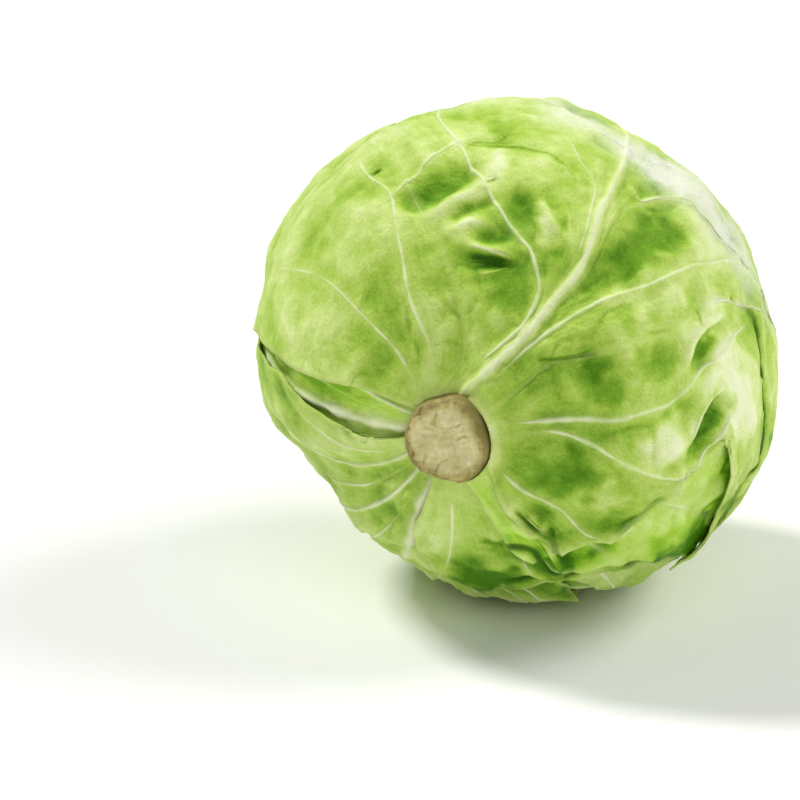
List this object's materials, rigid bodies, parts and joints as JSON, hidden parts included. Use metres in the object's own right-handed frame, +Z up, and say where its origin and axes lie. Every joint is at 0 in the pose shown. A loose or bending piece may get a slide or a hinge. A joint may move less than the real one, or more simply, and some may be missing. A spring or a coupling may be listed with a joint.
{
  "type": "cabbage head",
  "caption": "Whole green cabbage head lying on its side, with a cut stalk, a dense heart and veined wrapper leaves closed over it.",
  "frame": {"origin": "middle of the head's bounding box at the surface it rests on, on the small flat of the bottom leaf", "axes": "+Z up from the resting surface, cut stalk end towards -Y and a little towards -X, crown towards +Y"},
  "size_m": [0.1996, 0.2016, 0.1896],
  "materials": {
    "outer_blade": "waxy green leaf, satin",
    "inner_blade": "paler waxy green leaf, satin",
    "heart_leaf": "pale yellow-green leaf, satin",
    "stalk_flesh": "cut fibrous stalk, matte"
  },
  "bodies": {
    "root": {"stalk": "stalk_flesh", "heart": "heart_leaf", "left_leaf": "inner_blade", "bottom_leaf": "outer_blade", "back_leaf": "outer_blade", "lower_right_leaf": "inner_blade", "right_leaf": "inner_blade", "top_leaf": "outer_blade"}
  },
  "joints": []
}
